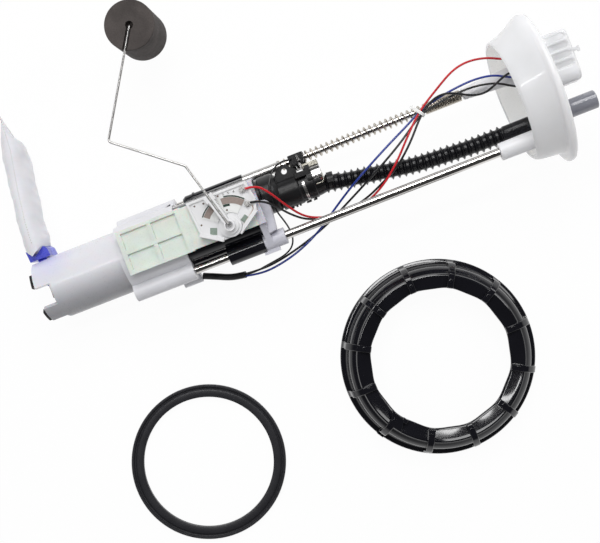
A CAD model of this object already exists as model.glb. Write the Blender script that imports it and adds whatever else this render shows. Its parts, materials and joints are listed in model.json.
import json
from math import atan2, cos, hypot, pi, radians, sin

import bpy
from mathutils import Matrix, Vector


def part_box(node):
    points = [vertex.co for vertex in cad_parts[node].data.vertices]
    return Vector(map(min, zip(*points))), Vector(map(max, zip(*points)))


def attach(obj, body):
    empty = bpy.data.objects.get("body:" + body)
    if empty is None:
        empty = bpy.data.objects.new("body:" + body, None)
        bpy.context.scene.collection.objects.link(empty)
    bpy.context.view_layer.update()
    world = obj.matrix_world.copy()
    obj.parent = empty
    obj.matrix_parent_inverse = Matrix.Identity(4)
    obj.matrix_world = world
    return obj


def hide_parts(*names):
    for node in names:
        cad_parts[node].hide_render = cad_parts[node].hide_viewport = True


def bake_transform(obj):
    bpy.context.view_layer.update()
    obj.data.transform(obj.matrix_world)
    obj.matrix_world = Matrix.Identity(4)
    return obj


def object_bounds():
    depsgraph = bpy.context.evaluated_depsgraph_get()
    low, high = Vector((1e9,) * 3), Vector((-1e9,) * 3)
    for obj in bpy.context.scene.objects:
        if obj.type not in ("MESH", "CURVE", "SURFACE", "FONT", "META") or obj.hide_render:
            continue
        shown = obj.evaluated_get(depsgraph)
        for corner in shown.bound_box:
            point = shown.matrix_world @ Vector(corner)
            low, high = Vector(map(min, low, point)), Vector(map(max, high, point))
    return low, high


# Fuel pump module: finishes, cords, springs, hose, strainer sock and studio.
# Lengths in the tables are millimetres along the module, as in the model's own frame:
# x from the strainer end to the flange, y towards the float, z up. at() turns them into metres.
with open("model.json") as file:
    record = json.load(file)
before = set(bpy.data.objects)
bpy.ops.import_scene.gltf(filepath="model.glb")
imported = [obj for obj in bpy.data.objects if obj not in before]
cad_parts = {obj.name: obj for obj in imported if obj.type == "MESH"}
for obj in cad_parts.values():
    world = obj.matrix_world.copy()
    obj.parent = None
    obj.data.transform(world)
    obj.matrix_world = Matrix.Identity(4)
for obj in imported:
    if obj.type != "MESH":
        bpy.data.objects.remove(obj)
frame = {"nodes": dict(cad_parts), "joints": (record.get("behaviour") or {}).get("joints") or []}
cad_low, cad_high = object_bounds()

MM = 0.001
axis_of = {joint["name"]: Vector(joint["axis"]) for joint in frame["joints"]}
ALONG = axis_of["reservoir_slide"].normalized()
SIDE = Vector((0, 1, 0))
UP = ALONG.cross(SIDE)
BENCH = cad_low.z


def at(x, y=0.0, z=0.0):
    """Point along the module, in metres in the shared frame."""
    return (ALONG * x + SIDE * y + UP * z) * MM


# Camera: straight above the bench, turned about its own axis, as the photograph was taken
CAMERA_PLACE = Vector((-0.23137, -0.06697, 0.886))
CAMERA_TURN = radians(-21.0)
camera_data = bpy.data.cameras.new("camera")
camera_data.lens = 66.45
camera_data.sensor_width = 36.0
camera_data.clip_start = 0.01
camera_data.clip_end = 20.0
camera = bpy.data.objects.new("camera", camera_data)
camera.location = CAMERA_PLACE
camera.rotation_euler = (0.0, 0.0, CAMERA_TURN)
bpy.context.scene.collection.objects.link(camera)
bpy.context.scene.camera = camera


# Materials
class Nodes:
    """A node tree with short helpers; an input takes a constant or another node's output."""

    def __init__(self, tree):
        self.tree = tree

    def feed(self, socket, value):
        if isinstance(value, bpy.types.NodeSocket):
            self.tree.links.new(value, socket)
        else:
            socket.default_value = value

    def add(self, kind, settings=None, **inputs):
        """A node; its inputs' names have underscores for spaces."""
        node = self.tree.nodes.new(kind)
        for key, value in (settings or {}).items():
            setattr(node, key, value)
        for key, value in inputs.items():
            self.feed(node.inputs[key.replace("_", " ")], value)
        return node

    def math(self, operation, first, second=0.0):
        node = self.add("ShaderNodeMath", {"operation": operation})
        self.feed(node.inputs[0], first)
        self.feed(node.inputs[1], second)
        return node.outputs[0]

    def remap(self, value, low, high, new_low, new_high):
        """The value, held between low and high and moved to the new range."""
        ends = dict(From_Min=low, From_Max=high, To_Min=new_low, To_Max=new_high)
        return self.add("ShaderNodeMapRange", {"clamp": True}, Value=value, **ends).outputs["Result"]

    def seen(self):
        """One for rays from the camera, off glossy surfaces and through clear ones."""
        rays = self.add("ShaderNodeLightPath")
        direct = self.math("MAXIMUM", rays.outputs["Is Camera Ray"], rays.outputs["Is Glossy Ray"])
        return self.math("MAXIMUM", direct, rays.outputs["Is Transmission Ray"])


class Shader(Nodes):
    """A node material with one Principled shader and patterns in the object's coordinates."""

    def __init__(self, name):
        self.material = bpy.data.materials.new(name)
        self.material.use_nodes = True
        super().__init__(self.material.node_tree)
        self.bsdf = self.tree.nodes["Principled BSDF"]
        self.coordinate = self.add("ShaderNodeTexCoord").outputs["Object"]

    def put(self, **inputs):
        """Constants or outputs on the Principled shader's inputs."""
        for key, value in inputs.items():
            self.feed(self.bsdf.inputs[key.replace("_", " ")], value)

    def noise(self, scale, detail, distortion=0.0, vector=None):
        sizes = dict(Scale=scale, Detail=detail, Distortion=distortion)
        return self.add("ShaderNodeTexNoise", Vector=vector or self.coordinate, **sizes).outputs["Fac"]

    def band(self, noise, new_low, new_high):
        """The middle of a noise's range, moved to a new range."""
        return self.remap(noise, 0.3, 0.7, new_low, new_high)

    def mix(self, factor, first, second):
        node = self.add("ShaderNodeMix", {"data_type": "RGBA"})
        for index, value in ((0, factor), (6, first), (7, second)):
            self.feed(node.inputs[index], value)
        return node.outputs[2]

    def cloudy(self, noise, colour, dark, light):
        """The colour, darker and lighter where the noise is low and high."""
        return self.mix(self.band(noise, 0.0, 1.0), shade(colour, dark), shade(colour, light))

    def bump(self, height, strength, distance):
        node = self.add("ShaderNodeBump", Strength=strength, Distance=distance, Height=height)
        self.put(Normal=node.outputs["Normal"])

    def axis(self, name):
        return self.add("ShaderNodeSeparateXYZ", Vector=self.coordinate).outputs[name]


def shade(colour, factor):
    """The colour, darker or lighter, with full alpha."""
    return tuple(min(1.0, c * factor) for c in colour) + (1.0,)


def surface(name, colour, rough, vary=0.05, patch=35.0, bump=0.08, soft=0.0, coat=0.0, shine=0.5, wear=0.0,
            depth=0.008, light=0.0, spread=0.05):
    """Moulded surface: slow colour patches, fine grain in gloss and relief, worn edges."""
    s = Shader(name)
    tone = s.cloudy(s.noise(patch, 4.0), colour, 1.0 - vary, 1.0 + vary)
    if wear > 0:
        pointed = s.add("ShaderNodeNewGeometry").outputs["Pointiness"]
        edge = s.math("MULTIPLY", s.remap(pointed, 0.52, 0.6, 0.0, wear), s.noise(160.0, 5.0))
        tone = s.mix(edge, tone, shade(tuple(c + 0.25 for c in colour), 1.0))
    grain = s.noise(900.0, 2.0)
    gloss = s.band(grain, max(0.02, rough - spread), min(1.0, rough + spread))
    s.bump(grain, bump, 0.0002)
    s.put(Base_Color=tone, Roughness=gloss, Specular_IOR_Level=shine, Coat_Weight=coat, Coat_Roughness=0.08)
    if soft > 0:
        s.put(Subsurface_Weight=soft, Subsurface_Radius=(1.0, 0.95, 0.9), Subsurface_Scale=depth)
    if light > 0:
        s.put(Emission_Color=shade(colour, 1.0), Emission_Strength=light)
    return s.material


def brushed(name, colour, rough, stretch, vary=0.12):
    """Drawn metal: streaks that run along the module."""
    s = Shader(name)
    tilt = (0.0, -atan2(ALONG.z, ALONG.x), 0.0)
    turned = s.add("ShaderNodeMapping", Vector=s.coordinate, Rotation=tilt, Scale=stretch).outputs["Vector"]
    streak = s.noise(160.0, 4.0, 0.0, turned)
    s.bump(streak, 0.05, 0.0001)
    tone = s.cloudy(streak, colour, 1.0 - vary, 1.0 + vary)
    s.put(Base_Color=tone, Roughness=s.band(streak, rough * 0.7, rough * 1.4), Metallic=1.0)
    return s.material


def foam(name, colour):
    """Closed-cell foam: matte, with small open cells and a dusty cast."""
    s = Shader(name)
    cells = s.add("ShaderNodeTexVoronoi", Scale=900.0, Vector=s.coordinate).outputs["Distance"]
    dust = s.remap(s.noise(70.0, 6.0, 0.4), 0.35, 0.7, 0.0, 1.0)
    s.bump(s.math("ADD", cells, s.noise(420.0, 5.0)), 0.55, 0.0004)
    s.put(Base_Color=s.mix(dust, shade(colour, 0.82), shade(colour, 1.25)), Specular_IOR_Level=0.3)
    s.put(Roughness=s.remap(cells, 0.0, 0.6, 0.95, 0.75))
    return s.material


# Waves of the mesh cloth, in radians per metre
THREADS = 5200.0


def cloth(name, colour):
    """Fine white mesh cloth: crossing threads, faint fuzz and a slow change of tone."""
    s = Shader(name)
    warp = s.math("SINE", s.math("MULTIPLY", s.axis("Y"), THREADS))
    weft = s.math("SINE", s.math("MULTIPLY", s.axis("Z"), THREADS))
    weave = s.math("MULTIPLY", warp, weft)
    s.bump(s.math("ADD", s.math("MULTIPLY", weave, 0.4), s.noise(900.0, 4.0)), 0.3, 0.0003)
    s.put(Base_Color=s.cloudy(s.noise(55.0, 4.0), colour, 0.93, 1.03), Sheen_Weight=0.3)
    s.put(Roughness=s.remap(weave, -1.0, 1.0, 0.75, 0.9), Subsurface_Weight=0.2, Subsurface_Scale=0.003)
    s.put(Emission_Color=(0.9, 0.9, 0.95, 1.0), Emission_Strength=0.13)
    return s.material


# Where the cup shows what is behind its wall: y of the shaded pump, and the blue strainer base
PUMP_SHADE_Y = (-0.031, -0.004)
BLUE_PLACE = at(-421.0, 14.0, 8.0)
BLUE_REACH = (0.006, 0.026)


def see_through(name, colour):
    """Milky wall that lets through the dark pump behind it and the blue strainer base at its end."""
    s = Shader(name)
    low = s.remap(s.axis("Y"), *PUMP_SHADE_Y, 0.8, 0.0)
    cloud = s.band(s.noise(40.0, 3.0), 0.85, 1.0)
    tone = s.mix(s.math("MULTIPLY", low, cloud), shade(colour, 1.0), (0.15, 0.15, 0.165, 1.0))
    near_base = s.add("ShaderNodeVectorMath", {"operation": "DISTANCE"})
    s.feed(near_base.inputs[0], s.coordinate)
    s.feed(near_base.inputs[1], BLUE_PLACE)
    tint = s.remap(near_base.outputs["Value"], *BLUE_REACH, 0.45, 0.0)
    s.put(Base_Color=s.mix(tint, tone, (0.48, 0.48, 0.85, 1.0)), Coat_Weight=0.15)
    s.put(Roughness=s.band(s.noise(900.0, 2.0), 0.26, 0.36), Subsurface_Weight=0.15, Subsurface_Scale=0.003)
    return s.material


DECK_END_X = (-0.2490, -0.2484)


def two_tone(name, colour, end_colour):
    """Pale green deck, clouded where light passes through it, with a greyer moulding at its end."""
    s = Shader(name)
    end = s.remap(s.axis("X"), *DECK_END_X, 0.0, 1.0)
    tone = s.cloudy(s.noise(60.0, 4.0), colour, 0.95, 1.05)
    s.put(Base_Color=s.mix(end, tone, (*end_colour, 1.0)), Coat_Weight=0.2)
    s.put(Roughness=s.band(s.noise(900.0, 2.0), 0.25, 0.35), Subsurface_Weight=0.4, Subsurface_Scale=0.005)
    return s.material


def bench_white(name):
    """Floor that the camera sees as white, and that still takes a soft shadow."""
    s = Shader(name)
    s.put(Base_Color=(0.9, 0.9, 0.9, 1.0), Roughness=0.9, Specular_IOR_Level=0.1)
    white = s.add("ShaderNodeEmission", Color=(1.0, 1.0, 1.0, 1.0), Strength=1.0)
    blend = s.add("ShaderNodeMixShader")
    paths = (s.math("MULTIPLY", s.seen(), 0.96), s.bsdf.outputs[0], white.outputs[0])
    for socket, output in zip(blend.inputs, paths):
        s.feed(socket, output)
    s.feed(s.tree.nodes["Material Output"].inputs["Surface"], blend.outputs[0])
    return s.material


MATERIALS = {
    "milky_white": lambda n: surface(
        n, (0.78, 0.78, 0.80), 0.26, vary=0.02, bump=0.006, soft=0.75, coat=0.2, depth=0.016, spread=0.01
    ),
    "milky_inside": lambda n: surface(
        n, (0.80, 0.80, 0.79), 0.3, vary=0.02, soft=0.5, coat=0.2, light=0.22
    ),
    "boss_white": lambda n: surface(n, (0.78, 0.78, 0.80), 0.34, vary=0.02, soft=0.25, depth=0.004),
    "clear_sleeve": lambda n: surface(
        n, (0.60, 0.62, 0.64), 0.12, vary=0.02, soft=0.5, coat=0.4, depth=0.003
    ),
    "bracket_white": lambda n: surface(n, (0.56, 0.56, 0.62), 0.34, vary=0.03, soft=0.3, depth=0.004),
    "weld_cream": lambda n: surface(n, (0.55, 0.55, 0.52), 0.5, vary=0.06),
    "dark_red": lambda n: surface(n, (0.16, 0.012, 0.012), 0.35, vary=0.15),
    "card_white": lambda n: surface(n, (0.75, 0.75, 0.76), 0.38, vary=0.03, soft=0.15, bump=0.12),
    "canister_white": lambda n: surface(n, (0.71, 0.71, 0.745), 0.34, vary=0.02, soft=0.25, coat=0.1),
    "deck_green": lambda n: two_tone(n, (0.69, 0.745, 0.69), (0.56, 0.56, 0.62)),
    "cup_white": lambda n: see_through(n, (0.72, 0.72, 0.76)),
    "gloss_black": lambda n: surface(
        n, (0.006, 0.006, 0.009), 0.11, vary=0.2, bump=0.004, shine=0.4, coat=0.5, spread=0.01
    ),
    "matte_black": lambda n: surface(
        n, (0.008, 0.008, 0.009), 0.34, vary=0.25, bump=0.12, wear=0.06, shine=0.35
    ),
    "hose_black": lambda n: surface(n, (0.007, 0.007, 0.009), 0.3, vary=0.25, bump=0.08, shine=0.4),
    "grey_pipe": lambda n: surface(n, (0.21, 0.215, 0.245), 0.16, vary=0.05, bump=0.03, coat=0.5),
    "blue_moulding": lambda n: surface(
        n, (0.055, 0.07, 0.58), 0.3, vary=0.2, patch=90.0, soft=0.35, coat=0.2
    ),
    "plate_beige": lambda n: brushed(n, (0.55, 0.53, 0.46), 0.34, (1.0, 12.0, 12.0), vary=0.06),
    "rod_chrome": lambda n: brushed(n, (0.68, 0.66, 0.64), 0.13, (1.0, 30.0, 30.0)),
    "spring_steel": lambda n: brushed(n, (0.50, 0.46, 0.40), 0.26, (20.0, 20.0, 20.0), vary=0.2),
    "plain_steel": lambda n: brushed(n, (0.55, 0.54, 0.53), 0.3, (1.0, 25.0, 25.0)),
    "bright_cap": lambda n: brushed(n, (0.62, 0.61, 0.60), 0.16, (25.0, 1.0, 1.0)),
    "tin_pin": lambda n: brushed(n, (0.62, 0.60, 0.52), 0.25, (1.0, 20.0, 20.0)),
    "copper": lambda n: brushed(n, (0.52, 0.26, 0.12), 0.3, (1.0, 1.0, 1.0)),
    "carbon": lambda n: surface(n, (0.03, 0.03, 0.03), 0.6, vary=0.2),
    "magnet": lambda n: surface(n, (0.06, 0.055, 0.055), 0.55, vary=0.3, bump=0.5),
    "core": lambda n: surface(n, (0.18, 0.09, 0.04), 0.35, vary=0.3, patch=300.0),
    "board": lambda n: surface(n, (0.72, 0.73, 0.72), 0.4, vary=0.04),
    "track_ink": lambda n: surface(n, (0.27, 0.215, 0.19), 0.5, vary=0.1, patch=500.0),
    "green_ink": lambda n: surface(n, (0.012, 0.035, 0.022), 0.3, vary=0.3, patch=300.0),
    "pad_grey_green": lambda n: surface(n, (0.22, 0.28, 0.235), 0.45, vary=0.15, patch=700.0),
    "dot_brown": lambda n: surface(n, (0.10, 0.06, 0.04), 0.4, vary=0.2),
    "black_rubber": lambda n: surface(n, (0.012, 0.012, 0.013), 0.55, vary=0.2, bump=0.3, shine=0.35),
    "seal_rubber": lambda n: surface(
        n, (0.021, 0.021, 0.025), 0.42, vary=0.15, patch=90.0, bump=0.25, shine=0.4
    ),
    "float_foam": lambda n: foam(n, (0.062, 0.053, 0.050)),
    "red_wire": lambda n: surface(n, (0.55, 0.012, 0.02), 0.3, vary=0.1, bump=0.05),
    "blue_wire": lambda n: surface(n, (0.012, 0.035, 0.27), 0.3, vary=0.12, bump=0.05),
    "black_wire": lambda n: surface(n, (0.008, 0.008, 0.009), 0.3, vary=0.2, bump=0.05),
    "sock_cloth": lambda n: cloth(n, (0.66, 0.66, 0.69)),
    "tie_white": lambda n: surface(n, (0.85, 0.85, 0.84), 0.35, vary=0.03, soft=0.2),
    "floor_paint": bench_white,
}
made = {}


def finish_of(name):
    """The named material, made at its first use."""
    if name not in made:
        made[name] = MATERIALS[name](name)
    return made[name]


NODES_OF = {
    "milky_white": "tank_flange connector_housing",
    "tin_pin": "terminal_pins",
    "grey_pipe": "outlet_nipple pump_inlet_cover pump_casing regulator_valve",
    "rod_chrome": "guide_rod spring_rod",
    "plain_steel": (
        "rod_end_clips pump_shell ground_strap spring_spacer sender_terminals float_arm "
        "float_retainer rotor_shaft"
    ),
    "hose_black": "corrugated_hose",
    "spring_steel": "return_spring regulator_spring",
    "red_wire": "red_wire",
    "black_wire": "sender_black_wire pump_black_wire ground_wire",
    "blue_wire": "blue_wire",
    "tie_white": "cable_tie strainer_sock",
    "cup_white": "reservoir_cup",
    "black_rubber": "foot_pads umbrella_valve pump_isolator check_valve",
    "canister_white": "reservoir_collar",
    "magnet": "pump_magnets",
    "carbon": "pump_brushes",
    "matte_black": "pump_end_cap regulator_housing hose_clamp rod_guide_clip wire_sheath impeller",
    "gloss_black": "pump_carrier lock_ring",
    "bright_cap": "regulator_cap",
    "bracket_white": "end_bracket",
    "deck_green": "sender_bracket",
    "card_white": "sender_card wiper_hub",
    "board": "resistor_board",
    "track_ink": "resistor_tracks",
    "blue_moulding": "strainer_base",
    "copper": "wiper_contacts commutator",
    "float_foam": "float_body",
    "core": "armature",
    "seal_rubber": "tank_seal",
}
finish_of_node = {node: finish for finish, nodes in NODES_OF.items() for node in nodes.split()}
for node_name, node in frame["nodes"].items():
    node.data.materials.clear()
    node.data.materials.append(finish_of(finish_of_node[node_name]))


# Mesh helpers
SMOOTH_ANGLE = radians(32.0)
BEVEL_ANGLE = radians(30.0)


def dress(name, data, finish):
    """Object for a mesh, with its finish, smooth apart from sharp edges."""
    data.materials.clear()
    data.materials.append(finish_of(finish))
    for polygon in data.polygons:
        polygon.use_smooth = True
    data.set_sharp_from_angle(angle=SMOOTH_ANGLE)
    thing = bpy.data.objects.new(name, data)
    bpy.context.scene.collection.objects.link(thing)
    return thing


def mesh_of(name, points, faces, finish):
    """Object from points in metres and faces."""
    data = bpy.data.meshes.new(name)
    data.from_pydata([tuple(p) for p in points], [], faces)
    data.update()
    return dress(name, data, finish)


def ring_faces(rings, count, joined=False, flip=False, base=0):
    """Faces between rings of count points that follow each other; joined links the last to the first."""
    faces = []
    for i in range(rings if joined else rings - 1):
        a = base + i * count
        b = base + (i + 1) % rings * count
        for j in range(count):
            k = (j + 1) % count
            faces.append((a + j, a + k, b + k, b + j) if flip else (a + j, b + j, b + k, a + k))
    return faces


def lathe(name, profile, centre, way, sideways, finish, steps=96):
    """Ring of revolution from a closed outline of (distance along, radius) pairs in mm."""
    third = way.cross(sideways)
    points = []
    for i in range(steps):
        turn = 2 * pi * i / steps
        spoke = sideways * cos(turn) + third * sin(turn)
        points += [centre + (way * a + spoke * r) * MM for a, r in profile]
    return mesh_of(name, points, ring_faces(steps, len(profile), joined=True, flip=True), finish)


def spline(name, points):
    """Curve object of one NURBS spline with the points as its control points."""
    data = bpy.data.curves.new(name, "CURVE")
    data.dimensions = "3D"
    data.resolution_u = 8
    run = data.splines.new("NURBS")
    run.points.add(len(points) - 1)
    for control, point in zip(run.points, points):
        control.co = (*point, 1.0)
    run.order_u = 3
    run.use_endpoint_u = True
    thing = bpy.data.objects.new(name, data)
    bpy.context.scene.collection.objects.link(thing)
    return thing


def mesh_from(curve):
    bpy.context.view_layer.update()
    return bpy.data.meshes.new_from_object(curve.evaluated_get(bpy.context.evaluated_depsgraph_get()))


def line_of(curve):
    """The points that a curve with no bevel follows."""
    line = mesh_from(curve)
    points = [v.co.copy() for v in line.vertices]
    bpy.data.meshes.remove(line)
    return points


def tube(name, points, radius, finish):
    """Mesh tube along a NURBS spline through the control points, and the line that it follows."""
    curve = spline(name + "_line", points)
    line = line_of(curve)
    curve.data.bevel_depth = radius * MM
    curve.data.bevel_resolution = 3
    curve.data.use_fill_caps = True
    data = mesh_from(curve)
    bpy.data.objects.remove(curve)
    data.name = name
    return dress(name, data, finish), line


def length_of(line):
    return sum((b - a).length for a, b in zip(line, line[1:]))


def bevelled(thing, width):
    """Rounded edges, in mm."""
    bevel = thing.modifiers.new("bevel", "BEVEL")
    bevel.width = width * MM
    bevel.segments = 2
    bevel.limit_method = "ANGLE"
    bevel.angle_limit = BEVEL_ANGLE
    return thing


def prism(name, outline, finish, place, first, second, grow, edge=0.0):
    """Solid of a flat outline: its points run along first and second, and it grows by the grow vector."""
    flat = [place + (first * u + second * v) * MM for u, v in outline]
    count = len(outline)
    points = flat + [p + grow * MM for p in flat]
    faces = [tuple(reversed(range(count))), tuple(range(count, 2 * count))]
    faces += [(i, (i + 1) % count, (i + 1) % count + count, i + count) for i in range(count)]
    thing = mesh_of(name, points, faces, finish)
    return bevelled(thing, edge) if edge > 0 else thing


def plate(name, outline, finish, base, height, edge=0.0, body="reservoir"):
    """Piece that stands up from its outline along the module, from a base height, in mm."""
    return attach(prism(name, outline, finish, at(0, 0, base), ALONG, SIDE, UP * height, edge), body)


def sector(name, corners, centre_y, angles, finish, edge, steps):
    """Part of a ring about the module's direction, from its (x, radius) corners and two angles in degrees."""
    points = []
    for i in range(steps + 1):
        turn = radians(angles[0] + (angles[1] - angles[0]) * i / steps)
        for x, r in corners:
            points.append(at(x, centre_y + r * cos(turn), r * sin(turn)))
    faces = [(0, 1, 2, 3), tuple(4 * steps + k for k in (3, 2, 1, 0))] + ring_faces(steps + 1, 4)
    return bevelled(mesh_of(name, points, faces, finish), edge)


def smooth_step(value, low, high):
    """Zero to one between low and high, with soft ends."""
    share = min(1.0, max(0.0, (value - low) / (high - low)))
    return share * share * (3 - 2 * share)


# Tank flange: one soft shell, whose skirt runs in an S-curve into the rim on the float side
# and meets it at a notch on the other side. Pairs are (x, radius) at the float side and opposite it.
SHELL_OUTSIDE = (
    ((-26.1, 47.2), (-22.6, 47.2)), ((-26.8, 47.7), (-23.4, 47.9)), ((-26.9, 48.6), (-23.4, 49.3)),
    ((-26.2, 49.4), (-22.6, 50.5)), ((-24.4, 50.0), (-20.8, 51.5)), ((-21.5, 50.9), (-18.2, 52.2)),
    ((-17.0, 52.4), (-14.6, 52.7)), ((-12.5, 54.4), (-11.0, 53.0)), ((-8.8, 56.6), (-7.5, 53.3)),
    ((-5.6, 58.7), (-4.0, 53.6)), ((-2.8, 60.4), (-1.6, 53.9)), ((-0.6, 61.3), (-0.7, 54.3)),
    ((0.8, 61.7), (-0.3, 55.2)), ((1.8, 61.9), (-0.1, 57.2)), ((2.6, 62.0), (0.2, 59.4)),
    ((3.4, 62.0), (1.2, 61.2)), ((4.2, 61.9), (2.6, 62.0)), ((5.2, 61.5), (4.6, 62.0)),
    ((6.1, 60.7), (6.0, 61.4)), ((6.7, 59.4), (6.8, 60.2)), ((7.0, 57.8), (7.0, 58.6)),
    ((7.1, 54.0), (7.1, 54.0)), ((7.2, 51.2), (7.2, 51.2)), ((7.6, 50.3), (7.6, 50.3)),
    ((8.2, 49.8), (8.2, 49.8)), ((8.5, 48.8), (8.5, 48.8)), ((8.5, 30.0), (8.5, 30.0)),
)
SHELL_INSIDE = (
    ((5.5, 30.0), (5.5, 30.0)), ((5.5, 46.0), (5.5, 46.0)), ((4.9, 47.2), (4.9, 47.2)),
    ((0.8, 47.4), (0.8, 47.4)), ((0.1, 48.2), (0.1, 48.2)), ((0.0, 56.4), (0.0, 50.2)),
    ((-1.4, 57.4), (-1.2, 51.0)), ((-5.0, 55.4), (-5.0, 50.9)), ((-12.5, 51.4), (-11.0, 50.4)),
    ((-20.0, 48.4), (-17.5, 49.4)), ((-24.6, 47.2), (-21.0, 47.9)),
)
SHELL_STEPS = 144
# The skirt's lip slants: past LIP_FROM a point shifts by this share of its way, and the other way below
LIP_FROM = -16.0
LIP_LIFT = 0.1


def flange_shell():
    """Rings of the two profiles blended round the axis, closed by a flat middle on each face."""
    points = []
    for near, far in SHELL_OUTSIDE + SHELL_INSIDE:
        for i in range(SHELL_STEPS):
            turn = 2 * pi * i / SHELL_STEPS
            share = (1 - cos(turn)) / 2
            x = near[0] + (far[0] - near[0]) * share
            x += LIP_LIFT * sin(turn) * max(0.0, LIP_FROM - x)
            r = near[1] + (far[1] - near[1]) * share
            points.append(at(x, r * cos(turn), r * sin(turn)))
    rings = len(SHELL_OUTSIDE + SHELL_INSIDE)
    middle = (len(SHELL_OUTSIDE) - 1) * SHELL_STEPS
    faces = ring_faces(rings, SHELL_STEPS, joined=True)
    del faces[middle : middle + SHELL_STEPS]
    faces.append(tuple(range(middle, middle + SHELL_STEPS)))
    faces.append(tuple(reversed(range(middle + SHELL_STEPS, middle + 2 * SHELL_STEPS))))
    thing = mesh_of("flange_shell", points, faces, "milky_white")
    thing.data.materials.append(finish_of("milky_inside"))
    for polygon in thing.data.polygons[middle : (rings - 1) * SHELL_STEPS]:
        polygon.material_index = 1
    return thing


shell = flange_shell()
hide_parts("tank_flange")
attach(shell, "flange_head")

# Bosses that hold the two rods, and the fin beside the spring rod's boss
GUIDE_PLACE = at(0, -35.6, 14.5)
SPRING_Y = 20.5
SPRING_Z = -14.0
GUIDE_BOSS = (
    (-48.4, 3.65), (-49.2, 4.2), (-49.2, 6.4), (-48.6, 7.0), (-30.0, 7.2), (-6.0, 7.3), (2.0, 7.4),
    (4.6, 8.6), (5.6, 10.0), (5.6, 3.65),
)
SPRING_BOSS = (
    (-56.6, 2.65), (-57.2, 3.1), (-57.2, 4.3), (-56.6, 4.8), (-40.0, 5.9), (-20.0, 7.0), (-4.0, 7.9),
    (2.0, 8.6), (4.6, 9.8), (5.6, 11.0), (5.6, 2.65),
)
FIN_OUTLINE = ((-24.0, 14.6), (5.4, 1.5), (5.4, 16.0), (-24.0, 16.0))
spring_place = at(0, SPRING_Y, SPRING_Z)
for name, profile, place in (
    ("guide_boss", GUIDE_BOSS, GUIDE_PLACE),
    ("spring_boss", SPRING_BOSS, spring_place),
):
    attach(lathe(name, profile, place, ALONG, SIDE, "boss_white", 48), "flange_head")
plate("boss_fin", FIN_OUTLINE, "boss_white", -15.0, 2.0, 0.4, "flange_head")

# Clear plastic sleeves on the four terminals inside the bell
PIN_PLACES = (5.1, 13.1, 21.1, 29.1)
SLEEVE = ((-6.6, 1.3), (-6.9, 1.7), (-6.7, 2.2), (-1.0, 2.5), (4.0, 2.6), (4.0, 1.3))
for i, y in enumerate(PIN_PLACES):
    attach(lathe("terminal_sleeve_%d" % i, SLEEVE, at(0, y), ALONG, SIDE, "clear_sleeve", 24), "flange_head")

# Connector: rounded box with four finger flutes on its upper side, a deep socket and a small hook
CONNECTOR_Y = 17.1
CONNECTOR_HALF = (21.35, 14.0)
CONNECTOR_CORNER = 8.0
SOCKET_CORNER = 0.6
CONNECTOR_WALL = 2.6
CONNECTOR_BASE = 8.4
CONNECTOR_END = 33.0
SOCKET_FLOOR = 18.0
FLUTE_PLACES = (10.6, 18.0, 25.4, 32.8)
FLUTE_ABOVE = 4.0
FLUTE_HALF = 3.1
FLUTE_FLAT = 0.62
FLUTE_START = (7.0, 9.0)
FLUTE_END = 31.0
FLUTE_DEPTH = 2.3
BOX_STEPS = 200
BOX_ROWS = 56


def on_box(way, half_y, half_z, corner):
    """Point at a distance round a rectangle with rounded corners, from the middle of its far side."""
    straight = (2 * (half_z - corner), 2 * (half_y - corner))
    quarter = pi * corner / 2
    for side in range(4):
        run = straight[side % 2]
        turn = pi / 2 * side
        out = half_y if side % 2 == 0 else half_z
        if way <= run:
            step = way - run / 2
            return out * cos(turn) - step * sin(turn), out * sin(turn) + step * cos(turn)
        way -= run
        if way <= quarter:
            bend = turn + way / corner
            corner_y = (half_y - corner) * (1 if side in (0, 3) else -1)
            corner_z = (half_z - corner) * (1 if side in (0, 1) else -1)
            return corner_y + corner * cos(bend), corner_z + corner * sin(bend)
        way -= quarter


def flute_dip(x, y):
    """How deep the finger flutes run at a place on the connector's upper side."""
    dip = 0.0
    for place in FLUTE_PLACES:
        off = hypot(max(0.0, x - FLUTE_END + FLUTE_HALF), y - place) / FLUTE_HALF
        if off < 1:
            dip += FLUTE_DEPTH * smooth_step(x, *FLUTE_START) * (1 - smooth_step(off, FLUTE_FLAT, 1.0))
    return dip


def box_ring(x, inset, flutes):
    """Rounded rectangle round the connector's axis; its top dips where a finger flute runs."""
    corner = max(SOCKET_CORNER, CONNECTOR_CORNER - inset)
    half_y = CONNECTOR_HALF[0] - inset
    half_z = CONNECTOR_HALF[1] - inset
    total = 4 * (half_y + half_z - 2 * corner) + 2 * pi * corner
    ring = []
    for i in range(BOX_STEPS):
        y, z = on_box(total * i / BOX_STEPS, half_y, half_z, corner)
        y += CONNECTOR_Y
        if flutes and z > FLUTE_ABOVE:
            z -= flute_dip(x, y)
        ring.append(at(x, y, z))
    return ring


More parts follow.
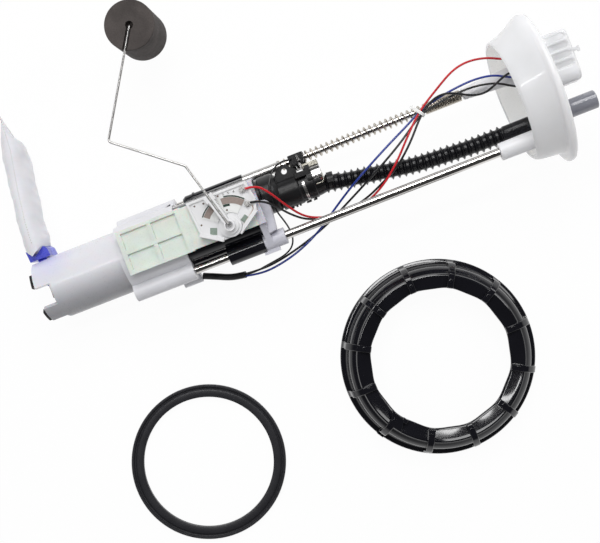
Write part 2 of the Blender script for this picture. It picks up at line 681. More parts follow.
def connector_box():
    """Outside wall with flutes, rounded lip, inside wall and the socket's floor."""
    root = ((0.0, -0.8), (0.6, -0.2), (1.4, 0.0))
    lip = ((-1.9, 0.15), (-1.0, 0.5), (-0.3, 1.1), (0.0, 1.8), (-0.2, 2.4))
    inside = ((-0.9, 0.1), (-6.0, 0.2))
    first = CONNECTOR_BASE + 2.4
    last = CONNECTOR_END - 3.0
    run = [(CONNECTOR_BASE + x, inset) for x, inset in root]
    run += [(first + (last - first) * i / BOX_ROWS, 0.0) for i in range(BOX_ROWS + 1)]
    run += [(CONNECTOR_END + x, inset) for x, inset in lip]
    run += [(CONNECTOR_END + x, CONNECTOR_WALL + inset) for x, inset in inside]
    run += [(SOCKET_FLOOR, CONNECTOR_WALL + 0.3)]
    points = []
    for x, inset in run:
        points += box_ring(x, inset, inset < 1)
    faces = ring_faces(len(run), BOX_STEPS, flip=True)
    faces.append(tuple(reversed(range(BOX_STEPS))))
    faces.append(tuple(range(len(points) - BOX_STEPS, len(points))))
    return mesh_of("connector_box", points, faces, "milky_white")


connector = connector_box()
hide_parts("connector_housing")
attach(connector, "flange_head")
HOOK_OUTLINE = (
    (32.0, 17.6), (35.8, 17.9), (36.0, 16.4), (37.8, 16.4), (38.0, 21.0), (36.2, 21.0), (35.8, 20.3),
    (32.0, 21.0),
)
plate("connector_hook", HOOK_OUTLINE, "milky_white", 11.0, 2.2, 0.45, "flange_head")

# Outlet nipple: smooth grey pipe with a rounded root and a rounded end
NIPPLE_PROFILE = (
    (7.6, 8.6), (8.6, 8.5), (9.2, 7.9), (10.0, 7.55), (22.0, 7.5), (37.2, 7.45), (37.9, 7.2), (38.3, 6.6),
    (38.2, 5.6), (37.6, 5.0), (9.0, 5.0), (7.6, 5.0),
)
nipple = lathe("nipple_pipe", NIPPLE_PROFILE, at(0, -22.8), ALONG, SIDE, "grey_pipe", 56)
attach(nipple, "flange_head")

# Cords: the wires' routes, from the sender or the sheath to the terminals in the flange
PIN_REACH = -6.4
WIRE_RADIUS = 0.9
GROUND_RADIUS = 0.7
SHEATH_RADIUS = 2.8
RED_POINTS = [
    (-246.2, 9.0, 39.02), (-237.0, 8.5, 38.8), (-229.0, -1.0, 34.0), (-221.0, -15.0, 24.0),
    (-212.0, -27.0, 13.0), (-199.0, -33.0, 5.5), (-179.0, -36.5, 3.0), (-161.0, -34.5, 4.0),
    (-143.0, -26.0, 9.5), (-127.0, -13.0, 13.0), (-112.0, 3.0, 12.0), (-96.7, 18.0, 9.2),
    (-77.0, 30.0, 8.0), (-60.0, 39.5, 7.0), (-46.0, 42.0, 5.0), (-31.0, 39.5, 3.0), (-18.0, 33.0, 0.8),
    (PIN_REACH, 29.1, 0.0),
]
SENDER_BLACK_POINTS = [
    (-246.2, -2.5, 39.02), (-237.5, -4.0, 38.8), (-229.0, -12.0, 30.5), (-221.0, -22.0, 17.5),
    (-211.0, -30.0, 7.5), (-196.0, -34.0, 3.0), (-178.0, -34.5, 2.4), (-161.0, -31.5, 3.4),
    (-144.0, -24.5, 8.5), (-128.5, -17.0, 12.5), (-112.5, -3.5, 12.0), (-95.3, 16.0, 9.2),
    (-83.0, 23.5, 9.4), (-72.0, 24.5, 9.2), (-62.0, 20.0, 8.5), (-52.0, 14.5, 7.0), (-42.0, 13.0, 5.5),
    (-33.0, 16.0, 5.0), (-23.0, 20.5, 3.6), (-14.0, 21.6, 1.4), (PIN_REACH, 21.1, 0.0),
]
BLUE_POINTS = [
    (-276.4, -54.2, -7.6), (-267.2, -56.4, -5.8), (-252.0, -57.0, -2.0), (-228.0, -52.0, -0.5),
    (-205.0, -41.5, -2.5), (-186.0, -28.5, -0.8), (-167.0, -17.5, 10.5), (-147.0, -7.0, 13.0),
    (-125.0, 4.0, 10.5), (-109.0, 11.5, 7.5), (-96.7, 18.0, 6.6), (-80.0, 23.0, 6.2), (-58.0, 26.0, 5.0),
    (-44.0, 26.5, 3.5), (-30.0, 24.5, 1.0), (-17.0, 17.0, 0.2), (PIN_REACH, 13.1, 0.0),
]
PUMP_BLACK_POINTS = [
    (-276.4, -52.6, -7.6), (-267.2, -53.6, -5.8), (-250.0, -53.5, -4.5), (-226.0, -48.5, -4.5),
    (-201.0, -40.5, -5.2), (-181.0, -31.0, -3.4), (-160.0, -21.5, 10.0), (-141.0, -12.0, 13.2),
    (-121.0, -1.0, 11.5), (-107.0, 8.5, 8.0), (-95.3, 16.0, 6.6), (-78.0, 19.8, 5.6), (-57.0, 21.8, 3.5),
    (-43.0, 21.0, 1.0), (-29.0, 17.5, -0.5), (-16.5, 9.0, -0.4), (PIN_REACH, 5.1, 0.0),
]
GROUND_POINTS = [
    (-202.5, 16.5, -7.4), (-203.5, 18.8, -2.5), (-207.0, 20.8, 3.5), (-213.0, 21.4, 8.8),
    (-220.0, 19.0, 13.4), (-226.5, 12.0, 17.2), (-230.5, 3.0, 19.4), (-231.5, -7.0, 18.2),
    (-231.0, -16.0, 13.0), (-229.0, -23.5, 6.0), (-227.5, -31.0, 0.5), (-227.5, -39.0, -1.8),
    (-231.0, -46.0, -1.6), (-238.5, -50.0, -0.6), (-248.0, -51.5, -0.8), (-258.0, -52.8, -2.0),
    (-267.2, -54.2, -3.9), (-276.4, -53.2, -6.6),
]
SHEATH_POINTS = [
    (-310.6, -41.5, -17.0), (-301.0, -45.5, -15.5), (-291.0, -50.0, -12.5), (-283.0, -52.2, -9.8),
    (-275.5, -53.2, -7.6),
]


def cord(node_name, points, radius, finish):
    """Wire in place of its CAD tube, declared with its length."""
    piece, line = tube(node_name + "_cord", [at(*p) for p in points], radius, finish)
    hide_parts(node_name)
    return piece


for node_name, points, finish in (
    ("red_wire", RED_POINTS, "red_wire"),
    ("sender_black_wire", SENDER_BLACK_POINTS, "black_wire"),
    ("blue_wire", BLUE_POINTS, "blue_wire"),
    ("pump_black_wire", PUMP_BLACK_POINTS, "black_wire"),
):
    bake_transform(cord(node_name, points, WIRE_RADIUS, finish))
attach(cord("ground_wire", GROUND_POINTS, GROUND_RADIUS, "black_wire"), "reservoir")
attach(cord("wire_sheath", SHEATH_POINTS, SHEATH_RADIUS, "matte_black"), "reservoir")

# Return spring: open coils from the spacer, close coils at the flange boss
COIL_RADIUS = 4.35
COIL_WIRE = 0.55
OPEN_START = -217.4
OPEN_END = -90.0
CLOSE_END = -58.8
OPEN_TURNS = 27
CLOSE_TURNS = 26
TURN_STEPS = 16


def coil(first, last, turns, y, z, radius):
    """Points of a helix along the module, up to but without its last one."""
    points = []
    for i in range(turns * TURN_STEPS):
        x = first + (last - first) * i / (turns * TURN_STEPS)
        turn = 2 * pi * i / TURN_STEPS
        points.append(at(x, y + radius * cos(turn), z + radius * sin(turn)))
    return points


coil_points = coil(OPEN_START, OPEN_END, OPEN_TURNS, SPRING_Y, SPRING_Z, COIL_RADIUS)
coil_points += coil(OPEN_END, CLOSE_END, CLOSE_TURNS, SPRING_Y, SPRING_Z, COIL_RADIUS)
spring = tube("spring_coils", coil_points, COIL_WIRE, "spring_steel")[0]
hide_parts("return_spring")
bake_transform(spring)

# Regulator spring: its valve end moves with the valve, its other end stays in the housing
VALVE_COIL_START = -209.8
VALVE_COIL_END = -190.8
VALVE_COIL_TURNS = 5
VALVE_COIL_Y = 3.4
VALVE_COIL_RADIUS = 3.1
VALVE_COIL_WIRE = 0.42
coil_points = coil(VALVE_COIL_START, VALVE_COIL_END, VALVE_COIL_TURNS, VALVE_COIL_Y, 0.0, VALVE_COIL_RADIUS)
coil_points.append(at(VALVE_COIL_END, VALVE_COIL_Y + VALVE_COIL_RADIUS))
valve_coil = tube("valve_coil", coil_points, VALVE_COIL_WIRE, "spring_steel")[0]
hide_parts("regulator_spring")
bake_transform(valve_coil)

# Corrugated hose: rounded crests, blended between its two ends
HOSE_START = at(-190.0, -7.4)
HOSE_END = at(-10.0, -22.8)
HOSE_BOW = (
    (-177.0, -9.6), (-152.3, -13.9), (-112.0, -20.2), (-93.0, -21.3), (-68.0, -22.9), (-44.0, -22.9),
    (-25.0, -22.8),
)
HOSE_CUFF = 6.5
HOSE_START_CUFF = 1.6
HOSE_END_CUFF = 30.0
HOSE_CREST = 7.85
HOSE_VALLEY = 5.7
HOSE_BORE = 4.5
CREST_COUNT = 28
CREST_SHAPE = (
    (0.0, 0.0), (0.2, 0.06), (0.34, 0.45), (0.44, 0.92), (0.5, 1.0), (0.56, 0.92), (0.66, 0.45), (0.8, 0.06),
)
BORE_STEPS = 40
HOSE_STEPS = 40


def hose_profile(length):
    """Closed outline of (distance along, radius): first cuff, crests, second cuff and back along the bore."""
    bellows = length - HOSE_START_CUFF - HOSE_END_CUFF
    second = length - HOSE_END_CUFF
    profile = [(0.0, HOSE_BORE), (0.0, HOSE_CUFF - 0.3), (0.4, HOSE_CUFF), (HOSE_START_CUFF - 0.8, HOSE_CUFF)]
    for i in range(CREST_COUNT):
        for share, height in CREST_SHAPE:
            distance = HOSE_START_CUFF + bellows * (i + share) / CREST_COUNT
            profile.append((distance, HOSE_VALLEY + (HOSE_CREST - HOSE_VALLEY) * height))
    profile += [(second, HOSE_VALLEY), (second + 1.5, HOSE_CUFF), (length, HOSE_CUFF)]
    return profile + [(length * (1 - i / BORE_STEPS), HOSE_BORE) for i in range(BORE_STEPS)]


def on_line(line, distance):
    """Point and direction at a distance in mm along a line."""
    left = distance * MM
    for a, b in zip(line, line[1:]):
        step = (b - a).length
        if left <= step or b is line[-1]:
            return a + (b - a) * (left / step), (b - a).normalized()
        left -= step


hose_curve = spline("hose_line", [HOSE_START] + [at(*p) for p in HOSE_BOW] + [HOSE_END])
hose_line = line_of(hose_curve)
bpy.data.objects.remove(hose_curve)
hose_rings = hose_profile(length_of(hose_line) / MM)
hose_points = []
for distance, radius in hose_rings:
    centre, way = on_line(hose_line, distance)
    across = way.cross(UP).normalized()
    lift = across.cross(way)
    for i in range(HOSE_STEPS):
        turn = 2 * pi * i / HOSE_STEPS
        hose_points.append(centre + (across * cos(turn) + lift * sin(turn)) * radius * MM)
hose_faces = ring_faces(len(hose_rings), HOSE_STEPS, joined=True)
hose = mesh_of("hose_bellows", hose_points, hose_faces, "hose_black")
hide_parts("corrugated_hose")
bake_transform(hose)

# Strainer sock: two layers of fine cloth joined at a welded seam, with a V over its base's wings.
# The edge lines are (y, x) pairs, seen from above.
SOCK_Z = -4.5
SOCK_HALF_WIDTH = 21.2
SOCK_MIDDLE = (
    (21.8, -428.9), (38.5, -427.6), (51.4, -426.6), (63.4, -424.8), (77.0, -422.9), (97.2, -419.0),
    (110.0, -416.6), (124.0, -415.6), (142.0, -414.6),
)
SOCK_LEFT = (
    (21.8, -438.0), (30.0, -439.2), (38.9, -438.6), (56.6, -436.9), (70.2, -434.6), (79.0, -433.5),
    (90.3, -432.1), (106.5, -429.9), (122.0, -425.5), (132.0, -420.6), (142.0, -416.4),
)
SOCK_RIGHT = (
    (21.8, -422.6), (26.3, -422.8), (31.4, -421.0), (36.3, -420.0), (45.6, -420.3), (51.9, -419.9),
    (66.5, -416.8), (81.4, -415.0), (101.4, -411.8), (111.0, -409.8), (116.0, -409.6), (120.0, -411.4),
    (130.0, -413.8), (142.0, -413.4),
)
SOCK_END_TOP = 140.8
SOCK_END_LOW = 111.4
SOCK_END_SLANT = 1.5
SOCK_CLOSES = (0.86, 1.0)
SOCK_CLOSED = 0.94
SOCK_ROUND = 0.85
NECK = (22.0, 40.0)
NECK_DRAW = 0.16
SOCK_ROWS = 110
SOCK_RING = 72
HELD_FIRST_ROWS = 16
HELD_LAST_ROWS = 4
HELD_SEAM = 0.985
WING_LINE = ((-438.4, 29.3), (-432.2, 23.1), (-422.9, 29.2), (-420.3, 26.3), (-419.6, 21.0))
SOCK_MOVE = 0.0016
SOCK_FRAMES = 20


def along_line(line, place):
    """Second coordinate of a line of points, at a place in the first one."""
    for (u0, v0), (u1, v1) in zip(line, line[1:]):
        if place <= u1:
            return v0 + (v1 - v0) * max(0.0, (place - u0) / (u1 - u0))
    return line[-1][1]


def sock_point(share, turn):
    """Point of the bag: pinched to a seam above and below, with an end seam that slants."""
    side = sin(turn)
    end = SOCK_END_LOW + (SOCK_END_TOP - SOCK_END_LOW) * ((1 + side) / 2) ** SOCK_END_SLANT
    start = SOCK_MIDDLE[0][0]
    y = start + (end - start) * share
    middle = along_line(SOCK_MIDDLE, y)
    edge = along_line(SOCK_RIGHT if cos(turn) > 0 else SOCK_LEFT, y)
    close = 1 - smooth_step(share, *SOCK_CLOSES) ** 2 * SOCK_CLOSED
    x = middle + (edge - middle) * abs(cos(turn)) ** SOCK_ROUND * close
    width = 1.0
    if y < NECK[1]:
        y = max(y, along_line(WING_LINE, x))
        width = 1 - NECK_DRAW * (1 - smooth_step(y, *NECK))
    return at(x, y, SOCK_Z + SOCK_HALF_WIDTH * width * side)


def swell(thing, held, move, frames):
    """Cloth under a little pressure from inside; each point moves by at most the given distance."""
    start = [v.co.copy() for v in thing.data.vertices]
    group = thing.vertex_groups.new(name="held")
    group.add(held, 1.0, "REPLACE")
    cloth_modifier = thing.modifiers.new("cloth", "CLOTH")
    settings = cloth_modifier.settings
    settings.quality = 6
    settings.mass = 0.2
    settings.tension_stiffness = 12.0
    settings.compression_stiffness = 2.0
    settings.shear_stiffness = 3.0
    settings.bending_stiffness = 0.3
    settings.vertex_group_mass = "held"
    settings.use_pressure = True
    settings.uniform_pressure_force = 4.0
    settings.effector_weights.gravity = 0.0
    cloth_modifier.point_cache.frame_end = frames
    scene = bpy.context.scene
    for frame_number in range(1, frames + 1):
        scene.frame_set(frame_number)
    graph = bpy.context.evaluated_depsgraph_get()
    after = [v.co.copy() for v in thing.evaluated_get(graph).data.vertices]
    thing.modifiers.remove(cloth_modifier)
    scene.frame_set(1)
    for vertex, old, new in zip(thing.data.vertices, start, after):
        step = new - old
        if step.length > move:
            step *= move / step.length
        vertex.co = old + step
    thing.data.update()


# Height in mm, waves along y and z in radians per mm, and shift of each crease
CREASES = ((0.35, 0.23, 0.11, 0.0), (0.25, 0.61, -0.2, 1.0))
PLEAT = 0.12
PLEAT_WAVE = 1.7
CREASED = (26.0, 40.0, 120.0, 138.0)


def dimples(thing):
    """Shallow hollows and creases in the slack cloth, away from its seams."""
    for vertex in thing.data.vertices:
        y = vertex.co.dot(SIDE) / MM
        z = vertex.co.dot(UP) / MM - SOCK_Z
        inner = max(0.0, 1 - (z / SOCK_HALF_WIDTH) ** 2)
        inner *= smooth_step(y, *CREASED[:2]) * (1 - smooth_step(y, *CREASED[2:]))
        crease = sum(high * sin(y * wave_y + z * wave_z + shift) for high, wave_y, wave_z, shift in CREASES)
        pleat = PLEAT * sin(y * PLEAT_WAVE) * (1 - inner)
        side = 1.0 if vertex.co.dot(ALONG) / MM > along_line(SOCK_MIDDLE, y) else -1.0
        vertex.co += ALONG * side * (crease * inner + pleat) * MM
    thing.data.update()


sock_points = []
sock_held = []
for i in range(SOCK_ROWS + 1):
    for j in range(SOCK_RING):
        turn = 2 * pi * j / SOCK_RING
        if i < HELD_FIRST_ROWS or i > SOCK_ROWS - HELD_LAST_ROWS or abs(sin(turn)) > HELD_SEAM:
            sock_held.append(len(sock_points))
        sock_points.append(sock_point(i / SOCK_ROWS, turn))
sock_faces = ring_faces(SOCK_ROWS + 1, SOCK_RING)
sock_faces.append(tuple(range(SOCK_RING)))
sock_faces.append(tuple(reversed(range(SOCK_ROWS * SOCK_RING, (SOCK_ROWS + 1) * SOCK_RING))))
sock = mesh_of("sock_cloth", sock_points, sock_faces, "sock_cloth")
swell(sock, sock_held, SOCK_MOVE, SOCK_FRAMES)
dimples(sock)
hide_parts("strainer_sock")
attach(sock, "reservoir")

# Welds of the sock's seam: small pressed dots along its upper and lower edges
WELD_COUNT = 48
WELD_SPAN = (0.1, 0.98)
# Half sizes along the module, sideways and up
WELD_SIZE = (0.42, 0.62, 0.34)
WELD_RINGS = 5
WELD_SIDES = 8


def weld_dot(centre):
    """Points of a small ellipsoid, in rings from one end to the other."""
    points = []
    for i in range(WELD_RINGS):
        tilt = pi * i / (WELD_RINGS - 1)
        for j in range(WELD_SIDES):
            turn = 2 * pi * j / WELD_SIDES
            round_it = ALONG * WELD_SIZE[0] * cos(turn) + UP * WELD_SIZE[2] * sin(turn)
            points.append(centre + (round_it * sin(tilt) + SIDE * WELD_SIZE[1] * cos(tilt)) * MM)
    return points


weld_points = []
weld_faces = []
for seam_turn in (pi / 2, -pi / 2):
    for i in range(WELD_COUNT):
        share = WELD_SPAN[0] + (WELD_SPAN[1] - WELD_SPAN[0]) * i / WELD_COUNT
        weld_faces += ring_faces(WELD_RINGS, WELD_SIDES, flip=True, base=len(weld_points))
        weld_points += weld_dot(sock_point(share, seam_turn))
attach(mesh_of("sock_welds", weld_points, weld_faces, "weld_cream"), "reservoir")

# Foot pads: thick straight pads on a part of each leg's end
PAD_CORNERS = ((-438.5, 21.2), (-438.5, 26.0), (-435.9, 26.0), (-435.9, 21.2))
PAD_ANGLES = ((52.0, 79.0), (128.0, 156.0), (256.0, 292.0))
CUP_Y = -7.4
for i, angles in enumerate(PAD_ANGLES):
    foot = sector("foot_pad_%d" % i, PAD_CORNERS, CUP_Y, angles, "black_rubber", 0.4, 6)
    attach(foot, "reservoir")
    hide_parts("foot_pads")

# Lock ring: wide foot, rounded shoulder, ridge and sloping top; ribs run over it, one has a pull lug
RING_CENTRE = Vector((-147.6, -176.4, 0.0)) * MM
RING_CENTRE.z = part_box("lock_ring")[0].z
RING_UP = Vector((0.0, 0.0, 1.0))
RING_STEPS = 240
RING_PROFILE = (
    (0.0, 72.5), (0.0, 82.4), (0.6, 83.0), (4.3, 83.0), (4.9, 82.5), (5.2, 81.0), (5.6, 79.4), (6.6, 78.0),
    (8.2, 77.1), (9.8, 76.8), (12.4, 76.7), (12.8, 76.2), (13.6, 76.2), (14.0, 76.6), (19.6, 76.5),
    (21.6, 76.1), (23.0, 75.1), (24.4, 73.6), (25.4, 71.9), (26.2, 70.8), (27.2, 70.4), (28.0, 70.0),
    (28.4, 69.3), (28.5, 68.7), (28.2, 68.1), (27.4, 66.5), (25.4, 60.2), (24.9, 59.0), (24.2, 58.3),
    (23.0, 58.2), (22.4, 59.2), (21.6, 63.0), (16.3, 71.9), (16.0, 72.5),
)
RIB_COUNT = 12
RIB_FIRST = 2.0
RIB_WIDTH = 5.6
RIB_PROFILE = (
    (4.2, 76.0), (4.2, 82.8), (5.8, 82.8), (7.2, 81.6), (9.6, 80.6), (20.4, 80.2), (22.6, 79.2),
    (25.6, 76.8), (28.2, 73.6), (29.6, 71.4), (30.0, 69.8), (30.0, 67.6), (29.3, 60.4), (28.6, 58.9),
    (27.2, 58.3), (24.0, 61.0), (22.0, 68.0), (16.5, 73.0),
)
HOLE_WAVE = 0.5
HOLE_EDGE = (58.0, 64.0)
HOLE_BASE = 20.0


def ring_body():
    """Lathe of the profile, with the hole's edge drawn in a little between the ribs."""
    points = []
    for i in range(RING_STEPS):
        turn = 2 * pi * i / RING_STEPS
        wave = HOLE_WAVE * cos(RIB_COUNT * (turn - radians(RIB_FIRST)))
        spoke = Vector((cos(turn), sin(turn), 0.0))
        for z, r in RING_PROFILE:
            inward = max(0.0, (HOLE_EDGE[1] - r) / (HOLE_EDGE[1] - HOLE_EDGE[0])) if z > HOLE_BASE else 0.0
            points.append(RING_CENTRE + (spoke * (r + inward * wave) + RING_UP * z) * MM)
    return mesh_of("ring_body", points, ring_faces(RING_STEPS, len(RING_PROFILE), joined=True), "gloss_black")


def spoke_and_tangent(angle):
    """Directions out from the ring's axis and round it, at an angle in degrees."""
    spoke = Vector((cos(radians(angle)), sin(radians(angle)), 0.0))
    return spoke, RING_UP.cross(spoke)


def on_ring(name, outline, height, thick, angle, edge):
    """Flat piece on top of the ring; its outline gives (radius, distance round)."""
    spoke, tangent = spoke_and_tangent(angle)
    base = RING_CENTRE + RING_UP * height * MM
    piece = prism(name, outline, "gloss_black", base, spoke, tangent, RING_UP * thick, edge)
    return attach(piece, "lock_ring")


lock_ring = ring_body()
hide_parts("lock_ring")
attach(lock_ring, "lock_ring")
RIVET_RADIUS = 64.6
RIVET_PROFILE = ((28.6, 1.7), (29.9, 1.7), (30.0, 1.5), (30.0, 1.1), (29.7, 0.9), (28.6, 0.9))
for i in range(RIB_COUNT):
    spoke, tangent = spoke_and_tangent(RIB_FIRST + 360.0 * i / RIB_COUNT)
    start = RING_CENTRE - tangent * RIB_WIDTH / 2 * MM
    width = tangent * RIB_WIDTH
    rib = prism("ring_rib_%02d" % i, RIB_PROFILE, "gloss_black", start, RING_UP, spoke, width, 0.6)
    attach(rib, "lock_ring")
    place = RING_CENTRE + spoke * RIVET_RADIUS * MM
    rivet = lathe("ring_rivet_%02d" % i, RIVET_PROFILE, place, RING_UP, spoke, "gloss_black", 16)
    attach(rivet, "lock_ring")

# Pull lug on the ring: a wedge over one rib, a square tab at the hole and an open box on the foot
LUG_TURN = 212.0
on_ring("ring_wedge", ((58.4, -7.5), (59.4, 6.0), (69.2, 10.0), (70.0, 1.0)), 28.2, 1.7, LUG_TURN, 0.4)
on_ring("ring_tab", ((57.6, 4.6), (57.6, 9.6), (61.5, 9.6), (61.5, 4.6)), 25.4, 3.8, LUG_TURN, 0.5)
BOX_WALLS = (
    ((78.6, -3.2), (83.0, -3.2), (83.0, -2.2), (78.6, -2.2)),
    ((78.6, 2.2), (83.0, 2.2), (83.0, 3.2), (78.6, 3.2)),
    ((82.0, -2.6), (83.0, -2.6), (83.0, 2.6), (82.0, 2.6)),
)
for i, outline in enumerate(BOX_WALLS):
    on_ring("ring_box_%d" % i, outline, 4.6, 7.4, LUG_TURN, 0.2)

# Tank seal: outer lip, groove and flat inner band
SEAL_CENTRE = Vector((-362.0, -190.5, BENCH / MM)) * MM
SEAL_PROFILE = (
    (0.3, 55.3), (0.0, 55.7), (0.0, 65.2), (0.6, 65.8), (4.2, 65.8), (4.9, 65.2), (5.0, 64.4), (4.8, 63.7),
    (3.6, 63.3), (3.3, 62.9), (3.3, 62.2), (3.7, 61.8), (4.2, 61.3), (4.4, 60.6), (4.4, 56.0), (4.0, 55.3),
)
seal = lathe("seal_ring", SEAL_PROFILE, SEAL_CENTRE, RING_UP, Vector((1, 0, 0)), "seal_rubber", 192)
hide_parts("tank_seal")
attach(seal, "tank_seal")

# Sender card: printed tracks' dark leads, solder dots, contact pads and the thin copper lead
SENDER_X = -267.0
SENDER_Y = -13.9
CARD_TOP = 36.5
BOARD_TOP = 37.1
ROUND_STEPS = 16


def arc_band(name, outer, inner, first, last):
    """Flat printed arc about the wiper's post, between two angles in degrees."""
    outline = []
    for radius, order in ((outer, range(ROUND_STEPS + 1)), (inner, range(ROUND_STEPS, -1, -1))):
        for i in order:
            turn = radians(first + (last - first) * i / ROUND_STEPS)
            outline.append((SENDER_X + radius * cos(turn), SENDER_Y + radius * sin(turn)))
    plate(name, outline, "green_ink", BOARD_TOP, 0.12)


def rounded_dot(name, x, y, height, radius, thick, finish):
    """Small round dot on the card."""
    turns = [2 * pi * i / ROUND_STEPS for i in range(ROUND_STEPS)]
    outline = [(x + radius * cos(turn), y + radius * sin(turn)) for turn in turns]
    plate(name, outline, finish, height, thick, radius * 0.25)


arc_band("lead_left", 24.0, 23.0, 117.0, 143.0)
arc_band("lead_right", 24.0, 22.9, 42.0, 84.0)
arc_band("lead_inner", 17.4, 15.6, 72.0, 91.0)
for i, (x, y, height) in enumerate((
    (-288.7, 10.7, CARD_TOP), (-281.2, 10.2, BOARD_TOP), (-288.8, -5.2, CARD_TOP), (-268.5, 11.6, BOARD_TOP),
    (-265.5, -1.3, BOARD_TOP),
)):
    rounded_dot("brown_dot_%d" % i, x, y, height, 0.75, 0.15, "dot_brown")
for i, (x, y) in enumerate(((-264.2, 11.4), (-259.8, 11.0), (-255.5, 10.6))):
    rounded_dot("solder_dot_%d" % i, x, y, CARD_TOP, 0.8, 0.5, "plain_steel")
PAD_HALF = 2.8
SQUARE = ((-1, -1), (1, -1), (1, 1), (-1, 1))
for i, (x, y, turn) in enumerate(((-281.5, -13.2, -21.0), (-254.5, -13.2, 33.0))):
    c, s = PAD_HALF * cos(radians(turn)), PAD_HALF * sin(radians(turn))
    outline = [(x + u * c - v * s, y + u * s + v * c) for u, v in SQUARE]
    plate("contact_pad_%d" % i, outline, "pad_grey_green", CARD_TOP, 0.2, 0.08)
LEAD_POINTS = ((-245.6, -4.6, 38.0), (-245.3, -7.0, 37.2), (-247.0, -9.4, 36.9), (-257.0, -16.2, 36.9))
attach(tube("copper_lead", [at(*p) for p in LEAD_POINTS], 0.2, "copper")[0], "reservoir")

# Regulator: black nose with a raised block, bright cap sheet, pale plate, hooked ear and clip strips
NOSE_PROFILE = (
    (-199.2, 5.0), (-199.2, 12.4), (-195.2, 12.4), (-194.6, 11.8), (-190.6, 11.4), (-187.4, 10.8),
    (-186.8, 10.0), (-186.8, 5.0),
)
nose = lathe("regulator_nose", NOSE_PROFILE, at(0, -3.4), ALONG, SIDE, "matte_black", 72)
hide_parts("regulator_cap")
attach(nose, "reservoir")
SHEET_CORNERS = ((-198.6, 12.3), (-186.6, 12.3), (-186.6, 13.0), (-198.6, 13.0))
ROOT_CORNERS = ((-198.8, 12.5), (-194.2, 12.5), (-194.2, 13.4), (-198.8, 13.4))
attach(sector("cap_sheet", SHEET_CORNERS, 0.0, (50.0, 94.0), "bright_cap", 0.2, 24), "reservoir")
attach(sector("cap_root", ROOT_CORNERS, 0.0, (20.0, 96.0), "matte_black", 0.2, 24), "reservoir")


def strip(line, thick):
    """Outline of a bent strip of sheet that follows a line along the module."""
    left = []
    right = []
    for i, (x, y) in enumerate(line):
        x0, y0 = line[max(0, i - 1)]
        x1, y1 = line[min(len(line) - 1, i + 1)]
        size = hypot(x1 - x0, y1 - y0)
        out_x, out_y = (y1 - y0) / size * thick / 2, (x1 - x0) / size * thick / 2
        left.append((x - out_x, y + out_y))
        right.append((x + out_x, y - out_y))
    return left + right[::-1]


PLATE_OUTLINE = ((-199.8, 13.6), (-186.9, 13.4), (-186.3, 9.4), (-198.2, 9.2), (-199.8, 9.6))
BLOCK_OUTLINE = ((-208.0, 8.3), (-194.2, 7.9), (-194.0, 3.4), (-208.4, 3.6))
CLIP_OUTLINE = ((-208.3, 24.2), (-196.3, 24.2), (-195.8, 18.8), (-197.4, 15.4), (-208.0, 15.0))
SLOT_OUTLINE = ((-201.7, 22.6), (-200.3, 22.4), (-199.2, 16.9), (-201.5, 17.2))
WINDOW_OUTLINE = ((-204.1, 13.6), (-202.8, 12.4), (-202.6, 9.5), (-204.2, 9.3))
TONGUE_OUTLINE = ((-200.9, 15.6), (-199.6, 14.6), (-199.9, 9.4), (-201.4, 9.6))
EAR_LINE = ((-186.7, 3.0), (-186.5, 0.1), (-186.5, -3.8), (-187.3, -5.4), (-189.0, -6.0), (-194.4, -5.9))
for name, outline, finish, base, height, edge in (
    ("clip_block", CLIP_OUTLINE, "matte_black", -6.0, 8.2, 0.6),
    ("cap_plate", PLATE_OUTLINE, "plate_beige", 4.2, 2.2, 0.4),
    ("nose_block", BLOCK_OUTLINE, "matte_black", 6.0, 7.0, 0.5),
    ("cap_ear", strip(EAR_LINE, 0.9), "plate_beige", 5.8, 5.6, 0.15),
    ("cap_ear_middle", strip(((-193.6, -1.1), (-187.4, -1.2)), 1.1), "plain_steel", 9.6, 2.0, 0.15),
    ("cap_ear_inside", strip(((-193.0, -3.0), (-187.4, -3.2)), 1.4), "dark_red", 9.4, 1.6, 0.15),
    ("clip_slot", SLOT_OUTLINE, "bright_cap", 2.0, 3.0, 0.15),
    ("clip_window", WINDOW_OUTLINE, "bright_cap", 7.6, 2.0, 0.15),
    ("clip_spring", TONGUE_OUTLINE, "plain_steel", 6.6, 2.0, 0.15),
):
    plate(name, outline, finish, base, height, edge)

# Dark bottom of the latch window in the collar's upper lobe
plate("latch_shadow", ((-322.6, 21.1), (-314.3, 23.7), (-314.3, 20.3)), "matte_black", -9.6, 0.9)

# End bracket's upper cheek beside the deck
CHEEK_OUTLINE = (
    (-247.6, -5.4), (-246.2, -1.2), (-236.0, -3.6), (-233.8, -5.6), (-233.4, -13.3), (-235.2, -29.0),
    (-242.0, -30.4), (-246.2, -22.2),
)
plate("bracket_cheek", CHEEK_OUTLINE, "bracket_white", 18.0, 7.6, 0.9)

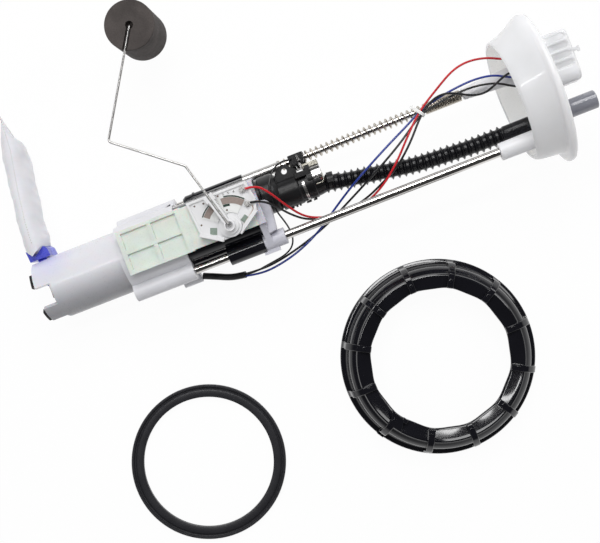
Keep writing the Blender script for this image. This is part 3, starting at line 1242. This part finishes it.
# Small teeth beside the regulator's nose, on the side away from the float
TOOTH_Y = (-17.2, -15.6)
for i, (x, wide) in enumerate(((-220.0, 2.6), (-215.6, 1.6), (-212.6, 1.4), (-206.5, 4.2), (-200.4, 3.0))):
    outline = ((x, TOOTH_Y[1]), (x + wide, TOOTH_Y[1]), (x + wide, TOOTH_Y[0]), (x, TOOTH_Y[0]))
    plate("nose_tooth_%d" % i, outline, "matte_black", -2.0, 4.0, 0.2)

# Studio: pale floor just under the bench, white surroundings, soft lamps
FLOOR_SIZE = 6.0
FLOOR_DROP = 0.0004
corners = [Vector((x * FLOOR_SIZE, y * FLOOR_SIZE, BENCH - FLOOR_DROP)) for x, y in SQUARE]
mesh_of("floor", corners, [(0, 1, 2, 3)], "floor_paint")

# Surroundings: an even level for diffuse light, and a white horizon under a dark ceiling in reflections
AMBIENT = 0.41
CEILING = dict(low=0.06, high=0.34, new_low=1.0, new_high=0.05)
bpy.context.scene.world = bpy.data.worlds.new("studio")
bpy.context.scene.world.use_nodes = True
sky = Nodes(bpy.context.scene.world.node_tree)
direction = sky.add("ShaderNodeTexCoord").outputs["Generated"]
height = sky.add("ShaderNodeSeparateXYZ", Vector=direction).outputs["Z"]
level = sky.add("ShaderNodeMix")
for index, value in ((0, sky.seen()), (2, AMBIENT), (3, sky.remap(height, **CEILING))):
    sky.feed(level.inputs[index], value)
background = sky.tree.nodes["Background"]
sky.feed(background.inputs["Strength"], level.outputs[0])
sky.feed(background.inputs["Color"], (1.0, 1.0, 1.0, 1.0))


def lamp(name, place, target, size, power):
    """Rectangular soft lamp that looks at a point."""
    data = bpy.data.lights.new(name, "AREA")
    data.shape = "RECTANGLE"
    data.size, data.size_y = size
    data.energy = power
    thing = bpy.data.objects.new(name, data)
    thing.location = place
    thing.rotation_euler = (Vector(target) - Vector(place)).to_track_quat("-Z", "Y").to_euler()
    bpy.context.scene.collection.objects.link(thing)


lamp("key", (-0.1, 0.9, 1.1), (-0.2, -0.05, 0.0), (1.0, 0.5), 9.3)
lamp("strip", (-0.3, 0.42, 1.3), (-0.25, -0.05, 0.0), (1.5, 0.08), 6.0)
lamp("side", (0.9, 0.1, 0.8), (-0.1, -0.05, 0.0), (0.3, 0.5), 2.0)
bpy.context.scene.view_settings.view_transform = "Standard"
